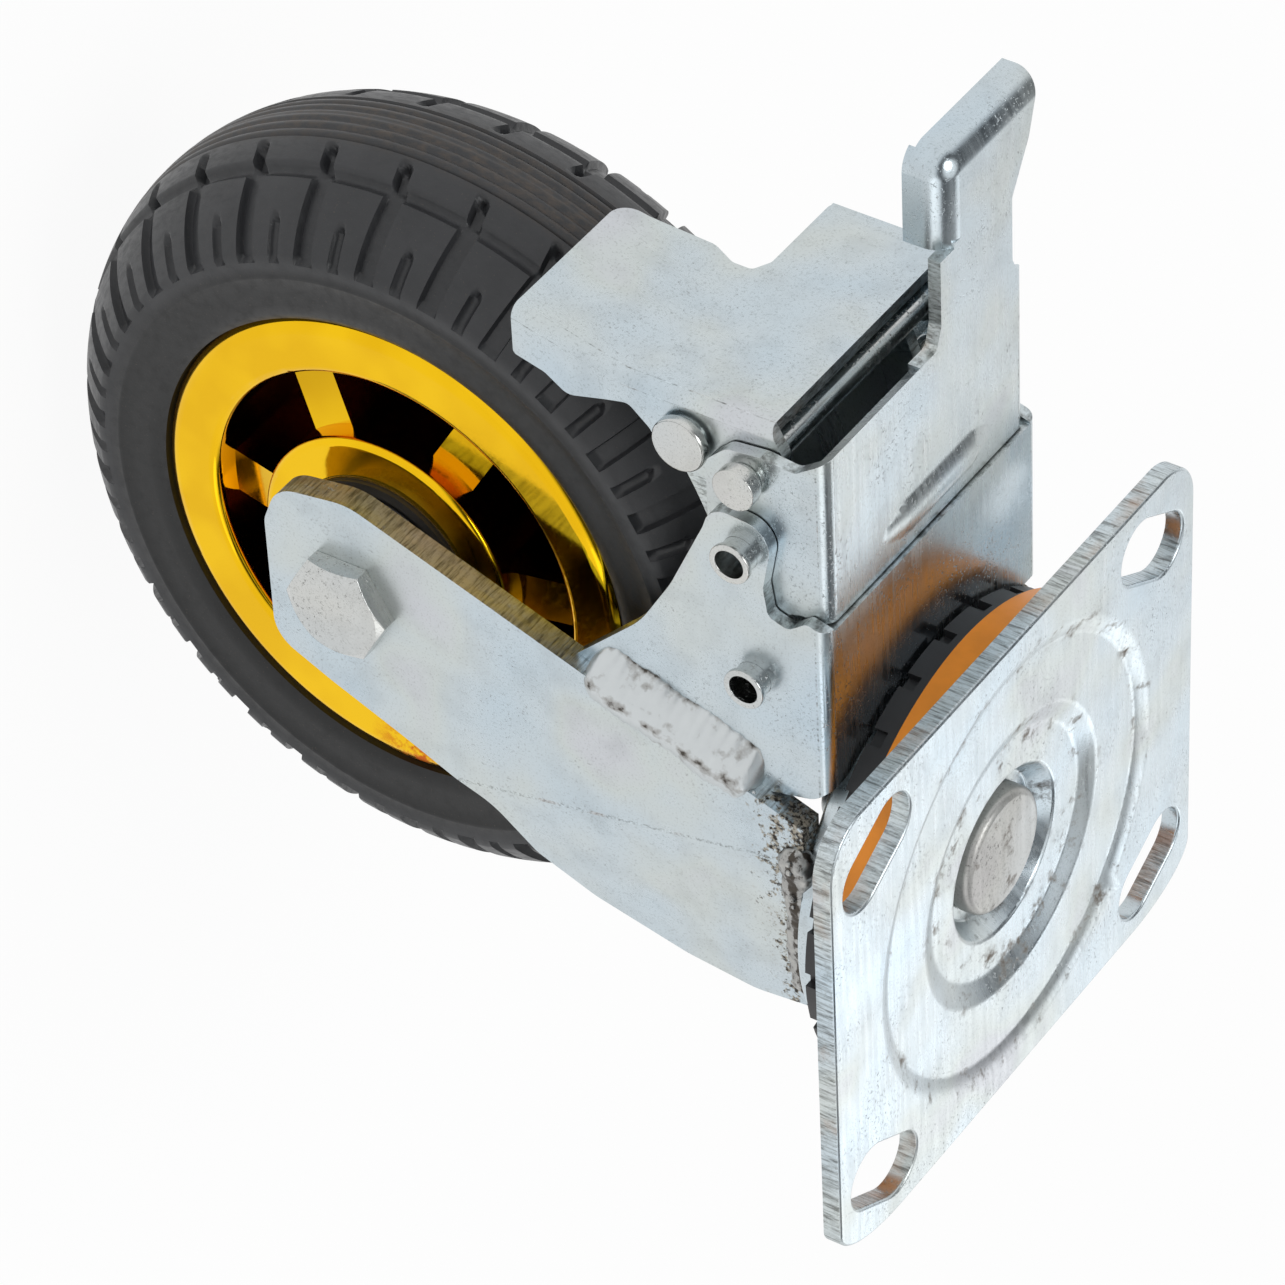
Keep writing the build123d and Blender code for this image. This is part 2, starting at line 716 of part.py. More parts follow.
def lever_far_flange():
    points = [(lever_face, -33.4), (lever_face, lever_head - 0.8), (-97.0, -26.9), (-86.7, -26.9),
              (-86.7, -52.6), (lever_face, -52.6)]
    return outline(points, (0, 1, 2, 5.5, 6, 0))


def make_lever():
    strip = extrude(Plane.XZ * make_face(lever_strip().edges()), lever_outer, both=True)
    window = extrude(Plane.YZ.offset(-150) * lever_blank(), 80)
    near = side_sheet(lever_near_flange(), lever_inner, lever_sheet)
    far = mirror(side_sheet(lever_far_flange(), lever_inner, lever_sheet), Plane.XZ)
    lever = (strip & window) + near + far
    fold = lever.edges().filter_by(lambda edge: abs(edge.center().Y + lever_outer) < 0.01)
    fold = fold.filter_by(lambda edge: edge.length > 15 and edge.center().X < lever_face + 0.01)
    lever = fillet(fold, fold_round)
    for place, radius in ((rod_pivot, rod_radius + running), (slot_pivot, lever_pin_radius)):
        lever -= Pos(place[0], 0, place[1]) * Rot(90, 0, 0) * Cylinder(radius, 3 * lever_outer)
    return lever


def make_lever_pin():
    """A stub pin with a flat head: it drives the brake arm through the arm's slot."""
    head_start = lever_outer + 0.8
    pin = cross_cylinder(slot_pivot, lever_pin_radius, arm_inner - 0.6, head_start - arm_inner + 0.6)
    pin += cross_cylinder(slot_pivot, lever_pin_radius + 0.8, lever_outer, head_start - lever_outer)
    head = cross_cylinder(slot_pivot, lever_pin_head, head_start, lever_pin_head_height)
    return pin + chamfer(head.edges().sort_by(Axis.Y)[0], 0.4)


# Brake arm

arm_outer = arm_inner + arm_sheet
shoe_radius = wheel_radius + shoe_gap


def turned(place, angle):
    """A point of the X and Z drawing after the arm has turned by `angle` towards the tyre."""
    x = place[0] - arm_pivot[0]
    z = place[1] - arm_pivot[1]
    turn = radians(angle)
    return (arm_pivot[0] + x * cos(turn) - z * sin(turn), arm_pivot[1] + x * sin(turn) + z * cos(turn))


def wheel_point(radius, angle):
    """A point around the axle, with the angle counted from +X upwards."""
    return (axle_x + radius * cos(radians(angle)), axle_z + radius * sin(radians(angle)))


def make_arm():
    """Two cheeks joined by the curved shoe, drawn pressed to the tyre and then turned back."""
    pin_place = turned(slot_pivot, arm_stroke)
    toe = wheel_point(shoe_radius + shoe_sheet, shoe_end - 2)
    discs = [Pos(*arm_pivot) * Circle(arm_eye), Pos(*pin_place) * Circle(arm_tip_eye),
             Pos(*toe) * Circle(shoe_sheet)]
    plan = make_hull(ShapeList([disc.edge() for disc in discs])) - Pos(axle_x, axle_z) * Circle(shoe_radius)
    cheek = side_sheet(plan, arm_inner, arm_sheet)
    middle = (shoe_start + shoe_end) / 2
    inner = ThreePointArc(*[wheel_point(shoe_radius, angle) for angle in (shoe_start, middle, shoe_end)])
    reach = shoe_radius + shoe_sheet
    outer = ThreePointArc(*[wheel_point(reach, angle) for angle in (shoe_start, middle, shoe_end)])
    ends = Line(inner @ 0, outer @ 0).edges() + Line(inner @ 1, outer @ 1).edges()
    shoe = extrude(Plane.XZ * make_face(inner.edges() + outer.edges() + ends), arm_outer, both=True)
    arm = cheek + mirror(cheek, Plane.XZ) + shoe
    arm += cross_cylinder(arm_pivot, rivet_radius + 1.6, -arm_outer, 2 * arm_outer)
    pressed = Axis((arm_pivot[0], 0, arm_pivot[1]), (0, -1, 0))
    arm = arm.rotate(pressed, -arm_stroke)
    arm -= cross_cylinder(arm_pivot, rivet_radius + running, -arm_outer - 1, 2 * arm_outer + 2)
    run = Vector(*slot_pivot) - Vector(*arm_pivot)
    along = run.normalized()
    centre = Vector(*slot_pivot) + along * slot_travel / 2
    slot = SlotCenterToCenter(slot_travel, 2 * (lever_pin_radius + slot_clearance))
    slot = Pos(centre.X, centre.Y) * Rot(0, 0, degrees(atan2(along.Y, along.X))) * slot
    arm -= extrude(Plane.XZ * slot, arm_outer + 1, both=True)
    beyond = Box(20, 4 * arm_outer, 40, align=(Align.MAX, Align.CENTER, Align.CENTER))
    return arm - Pos(lever_face + lever_sheet + arm_tip_gap, 0, slot_pivot[1]) * beyond


# All pieces by name

def build_parts():
    """Every piece of the castor under its node's name."""
    pieces = {
        "top_plate": make_top_plate(),
        "kingpin": make_kingpin(),
        "kingpin_collar": ring(collar_radius, pin_radius, cup_top, plate_floor - cup_top),
        "kingpin_nut": make_pin_nut(),
        "lower_cup": make_cup(),
        "upper_race": race(upper_race_top - race_height),
        "seal_ring": make_seal_ring(),
        "lock_ring": make_lock_ring(),
        "upper_balls": ball_row(ball_circle, ball_radius, ball_count, ball_height),
        "lower_balls": ball_row(small_ball_circle, small_ball_radius, small_ball_count, small_ball_height),
        "crown": make_crown(),
        "crown_race": race(crown_top),
        "brake_bracket": make_bracket(),
        "axle_bolt": make_axle_bolt(),
        "axle_washer": make_axle_washer(),
        "axle_nut": make_axle_nut(),
        "axle_sleeve": make_axle_sleeve(),
        "arm_rivet": make_arm_rivet(),
        "rim": make_rim(),
        "hub": make_hub(),
        "wheel_web": make_web(),
        "tyre": make_tyre(),
        "pedal": make_pedal(),
        "cross_rod": make_cross_rod(),
        "release_lever": make_lever(),
        "brake_arm": make_arm(),
    }
    leg = make_leg()
    pairs = {
        "leg": leg,
        "bracket_weld": make_bracket_weld(),
        "crown_weld": make_crown_weld(leg),
        "spacer": make_spacer(),
        "bearing": make_bearing(),
        "wheel_seal": make_wheel_seal(),
        "pedal_rivet": make_pedal_rivet(),
        "rod_bush": make_bush(),
        "lever_pin": make_lever_pin(),
    }
    for name, piece in pairs.items():
        pieces[name + "_near"] = to_side(piece, NEAR)
        pieces[name + "_far"] = to_side(piece, FAR)
    return pieces


os.makedirs("parts", exist_ok=True)
for name, piece in build_parts().items():
    export_step(piece, f"parts/{name}.step")
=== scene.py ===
from math import asin, copysign, cos, pi, radians, sin

import bmesh
import bpy
from bpy.props import FloatProperty, FloatVectorProperty, PointerProperty
from mathutils import Matrix, Vector, noise as field
from mathutils.bvhtree import BVHTree


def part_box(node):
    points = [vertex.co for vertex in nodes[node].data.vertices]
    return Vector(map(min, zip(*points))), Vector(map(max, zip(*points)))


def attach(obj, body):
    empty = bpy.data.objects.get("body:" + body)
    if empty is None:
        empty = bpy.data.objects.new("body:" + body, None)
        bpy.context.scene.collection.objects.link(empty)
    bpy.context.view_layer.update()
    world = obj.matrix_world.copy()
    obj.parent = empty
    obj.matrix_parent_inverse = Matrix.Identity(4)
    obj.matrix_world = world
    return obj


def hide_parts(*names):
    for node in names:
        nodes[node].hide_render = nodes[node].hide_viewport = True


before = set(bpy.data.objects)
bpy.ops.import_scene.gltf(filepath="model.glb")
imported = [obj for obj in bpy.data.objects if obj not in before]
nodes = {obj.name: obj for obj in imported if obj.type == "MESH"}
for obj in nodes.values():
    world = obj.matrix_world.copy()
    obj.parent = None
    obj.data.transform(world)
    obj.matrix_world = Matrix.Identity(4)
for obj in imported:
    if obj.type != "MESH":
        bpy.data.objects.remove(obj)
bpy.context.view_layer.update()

bl_info = {
    "name": "Swivel Castor",
    "version": (1, 0, 0),
    "blender": (4, 5, 0),
    "location": "3D View > Sidebar > Castor",
    "description": "Finishes a swivel castor: plated sheet, gilded rim, grooved tyre, welds and studio",
    "category": "Object",
}

MM = 0.001

# The photograph's camera, in metres
camera_place = Vector((-0.8000, -0.7398, 0.4477))
camera_right = Vector((0.0400, 0.5490, 0.8348))
camera_up = Vector((-0.7550, 0.5639, -0.3347))
camera_back = Vector((-0.6545, -0.6169, 0.4371))
focal_pixels = 6875.2
photo_pixels = 1285
sensor = 36.0

# Where the lamps look, and the air between the tyre and the floor
lamp_aim = Vector((-0.04, 0, -0.08))
floor_gap = 0.0002

# The rusty stain on the rim's near face
stain_place = (0.0087, -0.0228, -0.1108)
stain_core = 0.002
stain_reach = 0.0095

# The wheel's axle from its sleeve's own box, the tyre's size in millimetres, and the top of the legs
sleeve_low, sleeve_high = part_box("axle_sleeve")
axle = (sleeve_low + sleeve_high) / 2
tyre_low, tyre_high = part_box("tyre")
leg_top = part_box("leg_near")[1].z
wheel_radius = (tyre_high.z - tyre_low.z) / 2 / MM
tyre_half_width = (tyre_high.y - tyre_low.y) / 2 / MM


class CastorLooks(bpy.types.PropertyGroup):
    """Sizes and colours of the castor's finish."""

    zinc: FloatVectorProperty(name="Zinc", description="Colour of the bright zinc plating", subtype="COLOR",
                              size=3, min=0, max=1, default=(0.58, 0.635, 0.66))
    worn_zinc: FloatVectorProperty(name="Worn zinc", description="Colour of the pins, bolt and nut",
                                   subtype="COLOR", size=3, min=0, max=1, default=(0.60, 0.61, 0.60))
    gilt: FloatVectorProperty(name="Gilt", description="Colour of the plated rim", subtype="COLOR",
                              size=3, min=0, max=1, default=(0.91, 0.55, 0.010))
    rubber: FloatVectorProperty(name="Rubber", description="Colour of the tyre", subtype="COLOR",
                                size=3, min=0, max=1, default=(0.021, 0.022, 0.024))
    dust: FloatVectorProperty(name="Dust", description="Colour of the dust on the tread", subtype="COLOR",
                              size=3, min=0, max=1, default=(0.105, 0.078, 0.055))
    seal: FloatVectorProperty(name="Seal", description="Colour of the dust seal", subtype="COLOR",
                              size=3, min=0, max=1, default=(0.95, 0.30, 0.01))
    black: FloatVectorProperty(name="Black plastic", description="Colour of the lock ring", subtype="COLOR",
                               size=3, min=0, max=1, default=(0.02, 0.02, 0.022))
    stain: FloatVectorProperty(name="Stain", description="Colour of the rust stains", subtype="COLOR",
                               size=3, min=0, max=1, default=(0.42, 0.20, 0.07))
    edge_round: FloatProperty(name="Edge rounding", description="Rounding of the sheared sheet edges",
                              unit="LENGTH", min=0.0, max=0.001, default=0.0004)
    groove_depth: FloatProperty(name="Groove depth", description="Depth of the tread's cross grooves",
                                unit="LENGTH", min=0.0, max=0.005, default=0.0014)
    weld_height: FloatProperty(name="Weld height", description="Height of the weld beads", unit="LENGTH",
                               min=0.001, max=0.006, default=0.0032)


def looks():
    """The values of the panel."""
    return bpy.context.scene.castor_looks


# Node tools

def add(tree, kind, values=None, **settings):
    """Adds one node, sets its properties, and its sockets by name."""
    made = tree.nodes.new(kind)
    for key, value in settings.items():
        setattr(made, key, value)
    for key, value in (values or {}).items():
        made.inputs[key].default_value = value
    return made


def group_tree(name, inputs, outputs):
    """A shader group with its input and output nodes; each socket is (name, kind, default)."""
    tree = bpy.data.node_groups.new(name, "ShaderNodeTree")
    for label, kind, default in inputs:
        socket = tree.interface.new_socket(label, in_out="INPUT", socket_type=kind)
        if default is not None:
            socket.default_value = default
    for label, kind in outputs:
        tree.interface.new_socket(label, in_out="OUTPUT", socket_type=kind)
    return tree, tree.nodes.new("NodeGroupInput"), tree.nodes.new("NodeGroupOutput")


def ramp(tree, source, stops):
    """A colour ramp over a value."""
    made = tree.nodes.new("ShaderNodeValToRGB")
    elements = made.color_ramp.elements
    while len(elements) < len(stops):
        elements.new(0.5)
    for element, (place, colour) in zip(elements, stops):
        element.position = place
        element.color = (*colour, 1) if len(colour) == 3 else colour
    tree.links.new(source, made.inputs["Fac"])
    return made.outputs["Color"]


def span(tree, source, low, high, to_low=0.0, to_high=1.0):
    """Maps a value from one range to another, clamped."""
    values = {"From Min": low, "From Max": high, "To Min": to_low, "To Max": to_high}
    made = add(tree, "ShaderNodeMapRange", values)
    tree.links.new(source, made.inputs["Value"])
    return made.outputs["Result"]


def math(tree, operation, first, second=None):
    """One math node; each operand is a socket or a number."""
    made = add(tree, "ShaderNodeMath", operation=operation)
    for place, value in enumerate((first, second)):
        if value is None:
            continue
        if isinstance(value, (int, float)):
            made.inputs[place].default_value = value
        else:
            tree.links.new(value, made.inputs[place])
    return made.outputs[0]


def mix(tree, factor, first, second, blend_type="MIX"):
    """Mixes two colours; each is a socket or a colour."""
    made = add(tree, "ShaderNodeMix", data_type="RGBA", blend_type=blend_type)
    if isinstance(factor, (int, float)):
        made.inputs[0].default_value = factor
    else:
        tree.links.new(factor, made.inputs[0])
    for place, value in ((6, first), (7, second)):
        if isinstance(value, bpy.types.NodeSocket):
            tree.links.new(value, made.inputs[place])
        else:
            made.inputs[place].default_value = (*value[:3], 1)
    return made.outputs[2]


def noise(tree, vector, scale, detail=3.0, roughness=0.55, stretch=None):
    """A noise texture over object coordinates, stretched if asked."""
    if stretch:
        mapping = add(tree, "ShaderNodeMapping", {"Scale": stretch})
        tree.links.new(vector, mapping.inputs["Vector"])
        vector = mapping.outputs["Vector"]
    made = add(tree, "ShaderNodeTexNoise", {"Scale": scale, "Detail": detail, "Roughness": roughness})
    tree.links.new(vector, made.inputs["Vector"])
    return made.outputs["Fac"]


def reach_from(tree, vector, centre, axes=None):
    """The distance of a place from a centre; `axes` keeps only some of its coordinates."""
    if axes:
        flat = add(tree, "ShaderNodeVectorMath", operation="MULTIPLY")
        flat.inputs[1].default_value = axes
        tree.links.new(vector, flat.inputs[0])
        vector = flat.outputs["Vector"]
    reach = add(tree, "ShaderNodeVectorMath", operation="DISTANCE")
    reach.inputs[1].default_value = centre
    tree.links.new(vector, reach.inputs[0])
    return reach.outputs["Value"]


def coordinate(tree, vector, axis):
    """One coordinate of a place."""
    split = tree.nodes.new("ShaderNodeSeparateXYZ")
    tree.links.new(vector, split.inputs["Vector"])
    return split.outputs[axis]


# Shared effects

def plating_group():
    """Bright zinc: cool and warm clouds, fine pits, rolling marks and dull patches."""
    tree, given, made = group_tree(
        "Zinc Plating",
        [("Vector", "NodeSocketVector", None), ("Colour", "NodeSocketColor", (0.7, 0.74, 0.77, 1)),
         ("Clouds", "NodeSocketFloat", 1.0), ("Pits", "NodeSocketFloat", 1.0),
         ("Roughness", "NodeSocketFloat", 0.3)],
        [("Colour", "NodeSocketColor"), ("Roughness", "NodeSocketFloat"), ("Height", "NodeSocketFloat")])
    vector = given.outputs["Vector"]
    clouds = noise(tree, vector, 34.0, 2.0, 0.5)
    tint = ramp(tree, clouds, [(0.32, (0.84, 0.95, 1.05)), (0.48, (0.97, 1.0, 1.02)),
                               (0.58, (1.04, 1.01, 0.93)), (0.68, (1.05, 0.96, 0.97))])
    tinted = mix(tree, 1.0, given.outputs["Colour"], tint, "MULTIPLY")
    colour = mix(tree, given.outputs["Clouds"], given.outputs["Colour"], tinted)
    smudge = span(tree, noise(tree, vector, 120.0, 5.0, 0.65), 0.46, 0.72, 1.0, 0.88)
    pits = span(tree, noise(tree, vector, 1500.0, 2.0, 0.7), 0.60, 0.72)
    patches = span(tree, noise(tree, vector, 55.0, 3.0), 0.45, 0.62)
    pits = math(tree, "MULTIPLY", math(tree, "MULTIPLY", pits, patches), given.outputs["Pits"])
    colour = mix(tree, 1.0, colour, smudge, "MULTIPLY")
    colour = mix(tree, math(tree, "MULTIPLY", pits, 0.45), colour, (0.25, 0.25, 0.24))
    grains = noise(tree, vector, 2300.0, 2.0, 0.6)
    specks = ramp(tree, grains, [(0.30, (0.80, 0.80, 0.79)), (0.45, (1, 1, 1))])
    colour = mix(tree, 1.0, colour, specks, "MULTIPLY")
    marks = noise(tree, vector, 900.0, 2.0, 0.5, (0.06, 1.0, 0.06))
    rough = math(tree, "ADD", given.outputs["Roughness"], span(tree, clouds, 0.35, 0.65, -0.05, 0.08))
    rough = math(tree, "ADD", rough, span(tree, marks, 0.35, 0.65, -0.03, 0.05))
    rough = math(tree, "ADD", rough, math(tree, "MULTIPLY", pits, 0.25))
    height = math(tree, "ADD", math(tree, "MULTIPLY", marks, 0.12), math(tree, "MULTIPLY", pits, -0.8))
    wave = math(tree, "MULTIPLY", noise(tree, vector, 45.0, 1.0), 1.6)
    tree.links.new(colour, made.inputs["Colour"])
    tree.links.new(rough, made.inputs["Roughness"])
    tree.links.new(math(tree, "ADD", height, wave), made.inputs["Height"])
    return tree


def edge_group():
    """Streaks of a sheared edge, stretched across the sheet, with brown stains in them."""
    tree, given, made = group_tree(
        "Sheared Edge",
        [("Vector", "NodeSocketVector", None), ("Colour", "NodeSocketColor", (0.7, 0.74, 0.77, 1)),
         ("Streak", "NodeSocketVector", (1, 1, 0.1)), ("Stain", "NodeSocketColor", (0.42, 0.2, 0.07, 1))],
        [("Colour", "NodeSocketColor"), ("Streaks", "NodeSocketFloat")])
    stretched = add(tree, "ShaderNodeVectorMath", operation="MULTIPLY")
    tree.links.new(given.outputs["Vector"], stretched.inputs[0])
    tree.links.new(given.outputs["Streak"], stretched.inputs[1])
    streaks = noise(tree, stretched.outputs["Vector"], 1700.0, 4.0, 0.7)
    dark = ramp(tree, streaks, [(0.36, (0.40, 0.39, 0.38)), (0.46, (0.80, 0.80, 0.79)),
                                (0.56, (1.1, 1.1, 1.1))])
    colour = mix(tree, 1.0, given.outputs["Colour"], dark, "MULTIPLY")
    stained = span(tree, noise(tree, given.outputs["Vector"], 85.0, 4.0, 0.6), 0.54, 0.72, 0.0, 0.38)
    tree.links.new(mix(tree, stained, colour, given.outputs["Stain"]), made.inputs["Colour"])
    tree.links.new(streaks, made.inputs["Streaks"])
    return tree


def grime_group():
    """Brown dirt between two radii round an axis, in patches."""
    tree, given, made = group_tree(
        "Ring Dirt",
        [("Vector", "NodeSocketVector", None), ("Inner", "NodeSocketFloat", 0.012),
         ("Outer", "NodeSocketFloat", 0.018), ("Fade", "NodeSocketFloat", 0.002),
         ("Patches", "NodeSocketFloat", 0.5)],
        [("Mask", "NodeSocketFloat")])
    radius = reach_from(tree, given.outputs["Vector"], (0, 0, 0), (1, 1, 0))
    fade = given.outputs["Fade"]
    after = math(tree, "DIVIDE", math(tree, "SUBTRACT", radius, given.outputs["Inner"]), fade)
    before = math(tree, "DIVIDE", math(tree, "SUBTRACT", given.outputs["Outer"], radius), fade)
    band = math(tree, "MULTIPLY", span(tree, after, 0, 1), span(tree, before, 0, 1))
    cloud = noise(tree, given.outputs["Vector"], 230.0, 6.0, 0.68)
    edge = math(tree, "SUBTRACT", cloud, math(tree, "SUBTRACT", 1.0, given.outputs["Patches"]))
    patch = span(tree, edge, -0.04, 0.10)
    tree.links.new(math(tree, "MULTIPLY", band, patch), made.inputs["Mask"])
    return tree


def place_group(tree, group, links=None, values=None):
    """Places a group in a material."""
    made = tree.nodes.new("ShaderNodeGroup")
    made.node_tree = group
    for key, value in (values or {}).items():
        made.inputs[key].default_value = value
    for key, socket in (links or {}).items():
        tree.links.new(socket, made.inputs[key])
    return made


def start_material(name):
    """An empty material with its shader, output and object coordinates."""
    material = bpy.data.materials.new(name)
    material.use_nodes = True
    tree = material.node_tree
    tree.nodes.clear()
    shader = tree.nodes.new("ShaderNodeBsdfPrincipled")
    output = tree.nodes.new("ShaderNodeOutputMaterial")
    tree.links.new(shader.outputs["BSDF"], output.inputs["Surface"])
    place = tree.nodes.new("ShaderNodeTexCoord")
    return material, tree, shader, place


def bump(tree, shader, height, distance, strength=1.0):
    """Feeds a height to the shader's normal."""
    made = add(tree, "ShaderNodeBump", {"Strength": strength, "Distance": distance})
    tree.links.new(height, made.inputs["Height"])
    tree.links.new(made.outputs["Normal"], shader.inputs["Normal"])


def zinc_material(name, groups, colour, streak=(1, 1, 0.1), clouds=1.0, pits=1.0, roughness=0.3, dirt=(),
                  scorched=None):
    """Plated sheet: sheared edges and, on a crease's bend, a painted shade line, both from the piece's own
    attribute; rings of dirt, and soot above a height.
    """
    material, tree, shader, place = start_material(name)
    plating, edge, grime = groups
    vector = place.outputs["Object"]
    finish = place_group(tree, plating, {"Vector": vector},
                         {"Colour": (*colour, 1), "Clouds": clouds, "Pits": pits, "Roughness": roughness})
    sheared = place_group(tree, edge, {"Vector": vector, "Colour": finish.outputs["Colour"]},
                          {"Streak": streak, "Stain": (*looks().stain, 1)})
    # the attribute holds the sheared edges and the painted shade line on a crease's bend
    sheared_and_crease_shade = add(tree, "ShaderNodeAttribute", attribute_name="sheared").outputs["Fac"]
    base = mix(tree, sheared_and_crease_shade, finish.outputs["Colour"], sheared.outputs["Colour"])
    rough = math(tree, "ADD", finish.outputs["Roughness"], math(tree, "MULTIPLY", sheared_and_crease_shade, 0.12))
    for inner, outer, fade, patches, tone in dirt:
        ring = {"Inner": inner, "Outer": outer, "Fade": fade, "Patches": patches}
        soiled = place_group(tree, grime, {"Vector": vector}, ring).outputs["Mask"]
        base = mix(tree, soiled, base, tone)
        rough = math(tree, "ADD", rough, math(tree, "MULTIPLY", soiled, 0.3))
    if scorched:
        low, high = scorched
        close = span(tree, coordinate(tree, vector, "Z"), low, high)
        cloud = noise(tree, vector, 620.0, 6.0, 0.72)
        burnt = span(tree, math(tree, "ADD", cloud, math(tree, "MULTIPLY", close, 0.22)), 0.64, 0.70)
        burnt = math(tree, "MULTIPLY", burnt, span(tree, close, 0.0, 0.3))
        flecks = noise(tree, vector, 1500.0, 3.0)
        crust = ramp(tree, flecks, [(0.42, (0.05, 0.045, 0.04)), (0.56, (0.40, 0.37, 0.31))])
        base = mix(tree, burnt, base, crust)
        rough = math(tree, "ADD", rough, math(tree, "MULTIPLY", burnt, 0.3))
    tree.links.new(base, shader.inputs["Base Color"])
    tree.links.new(rough, shader.inputs["Roughness"])
    shader.inputs["Metallic"].default_value = 1.0
    height = math(tree, "MULTIPLY", math(tree, "MULTIPLY", sheared.outputs["Streaks"], sheared_and_crease_shade), 2.5)
    bump(tree, shader, math(tree, "ADD", finish.outputs["Height"], height), 0.00012, 0.5)
    return material


def gilt_material():
    """Gold-coloured chrome with faint ripples, painted shade in the deep pockets, and one rusty stain."""
    material, tree, shader, place = start_material("Gilt Chrome")
    vector = place.outputs["Object"]
    ripple = noise(tree, vector, 60.0, 2.0, 0.5)
    base = mix(tree, span(tree, ripple, 0.4, 0.6), looks().gilt, (0.83, 0.48, 0.008))
    # painted shade: the deep pockets near the wheel's middle plane are darkened towards dark brown
    depth = span(tree, math(tree, "ABSOLUTE", coordinate(tree, vector, "Y")), 0.0205, 0.012)
    base = mix(tree, math(tree, "MULTIPLY", depth, 0.90), base, (0.13, 0.045, 0.002))
    near = span(tree, reach_from(tree, vector, stain_place), stain_reach, stain_core)
    rust = math(tree, "MULTIPLY", near, span(tree, noise(tree, vector, 420.0, 5.0, 0.65), 0.40, 0.56))
    base = mix(tree, rust, base, (0.62, 0.13, 0.005))
    tree.links.new(base, shader.inputs["Base Color"])
    fine = noise(tree, vector, 1400.0, 2.0, 0.6)
    rough = math(tree, "ADD", span(tree, fine, 0.3, 0.7, 0.06, 0.14), math(tree, "MULTIPLY", rust, 0.4))
    tree.links.new(rough, shader.inputs["Roughness"])
    shader.inputs["Metallic"].default_value = 1.0
    bump(tree, shader, math(tree, "ADD", ripple, math(tree, "MULTIPLY", fine, 0.05)), 0.0002, 0.35)
    return material


def rubber_material():
    """Moulded rubber with brown dust on the middle of the tread."""
    material, tree, shader, place = start_material("Tread Rubber")
    vector = place.outputs["Object"]
    band = span(tree, math(tree, "ABSOLUTE", coordinate(tree, vector, "Y")), 0.008, 0.003)
    cloud = span(tree, noise(tree, vector, 420.0, 6.0, 0.65, (1.0, 2.4, 1.0)), 0.42, 0.66)
    dusty = math(tree, "MULTIPLY", math(tree, "MULTIPLY", band, cloud), 0.55)
    specks = math(tree, "MULTIPLY", span(tree, noise(tree, vector, 3200.0, 1.0, 0.5), 0.70, 0.76), 0.35)
    dusty = math(tree, "MAXIMUM", dusty, specks)
    grain = noise(tree, vector, 2600.0, 3.0, 0.6)
    faded = span(tree, noise(tree, vector, 50.0, 4.0), 0.35, 0.65)
    base = mix(tree, faded, looks().rubber, (0.034, 0.035, 0.038))
    wall = span(tree, reach_from(tree, vector, (axle.x, 0, axle.z), (1, 0, 1)), 0.0595, 0.0570)
    base = mix(tree, wall, base, (0.006, 0.0063, 0.0067))
    tree.links.new(mix(tree, dusty, base, looks().dust), shader.inputs["Base Color"])
    tree.links.new(span(tree, cloud, 0.0, 1.0, 0.36, 0.52), shader.inputs["Roughness"])
    shader.inputs["Specular IOR Level"].default_value = 0.45
    bump(tree, shader, grain, 0.00005, 0.4)
    return material


def plastic_material(name, colour, roughness):
    """Moulded plastic with a fine grain."""
    material, tree, shader, place = start_material(name)
    vector = place.outputs["Object"]
    cloud = noise(tree, vector, 80.0, 4.0)
    darker = tuple(part * 0.8 for part in colour)
    tree.links.new(mix(tree, span(tree, cloud, 0.4, 0.65), colour, darker), shader.inputs["Base Color"])
    tree.links.new(span(tree, cloud, 0.3, 0.7, roughness, roughness + 0.12), shader.inputs["Roughness"])
    bump(tree, shader, noise(tree, vector, 2200.0, 2.0), 0.00004, 0.3)
    return material


def weld_material(name, burnt):
    """A weld's rough metal: plated over, or dark and burnt. Its foot is dark by the piece's own attribute."""
    material, tree, shader, place = start_material(name)
    vector = place.outputs["Object"]
    if burnt:
        coarse = noise(tree, vector, 420.0, 6.0, 0.70)
        shift = 0.12
        tone = (0.46, 0.46, 0.44)
    else:
        coarse = noise(tree, vector, 300.0, 4.0, 0.58)
        shift = -0.06
        tone = (0.60, 0.63, 0.64)
    foot = add(tree, "ShaderNodeAttribute", attribute_name="foot").outputs["Fac"]
    shade = math(tree, "SUBTRACT", coarse, span(tree, foot, 0.93, 1.0, 0.0, 0.20))
    colour = ramp(tree, shade, [(0.28 + shift, (0.08, 0.07, 0.06)), (0.36 + shift, (0.38, 0.38, 0.37)),
                                 (0.50 + shift, tone)])
    tree.links.new(colour, shader.inputs["Base Color"])
    tree.links.new(span(tree, coarse, 0.3, 0.7, 0.55, 0.30), shader.inputs["Roughness"])
    shader.inputs["Metallic"].default_value = 1.0
    bump(tree, shader, coarse, 0.0004, 0.5 if burnt else 0.3)
    return material


def paint(material, *names):
    """Gives CAD nodes a material."""
    for name in names:
        mesh = nodes[name].data
        mesh.materials.clear()
        mesh.materials.append(material)


def finish_mesh(name, bm, material, body, crease=40):
    """Turns a bmesh into a shaded piece that rides on a body."""
    mesh = bpy.data.meshes.new(name)
    bm.to_mesh(mesh)
    bm.free()
    mesh.polygons.foreach_set("use_smooth", [True] * len(mesh.polygons))
    mesh.set_sharp_from_angle(angle=radians(crease))
    mesh.materials.append(material)
    piece = bpy.data.objects.new(name, mesh)
    bpy.context.scene.collection.objects.link(piece)
    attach(piece, body)
    return piece


